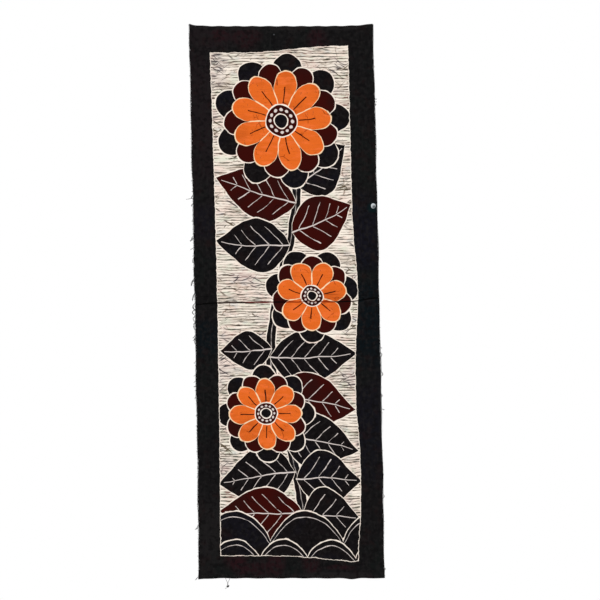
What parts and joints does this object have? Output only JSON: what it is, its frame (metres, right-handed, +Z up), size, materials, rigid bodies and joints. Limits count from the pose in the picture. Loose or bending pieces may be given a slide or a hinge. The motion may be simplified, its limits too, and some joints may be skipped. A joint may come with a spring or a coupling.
{
  "type": "batik wall hanging",
  "caption": "Tall narrow panel of resist-dyed cotton hung by its top hem, with sewn hems above and below, raw frayed sides and a soft crease across its middle.",
  "frame": {"origin": "middle of the top edge, on the plane of the top hem's back, where it lies against the wall", "axes": "+X to the viewer's right across the panel, +Y from the front into the wall, +Z up; the dyed front faces -Y"},
  "size_m": [0.3243, 0.0077, 0.9344],
  "materials": {
    "batik_cotton": "matt plain-weave cotton, wax-resist dyed black, oxblood, orange and cream",
    "frayed_yarn": "matt loose cotton yarn, dyed black",
    "hem_thread": "matt dark grey sewing cotton"
  },
  "bodies": {
    "root": {"cloth_panel": "batik_cotton", "frayed_side_left": "frayed_yarn", "frayed_side_right": "frayed_yarn", "loose_hem_thread": "hem_thread"}
  },
  "joints": []
}
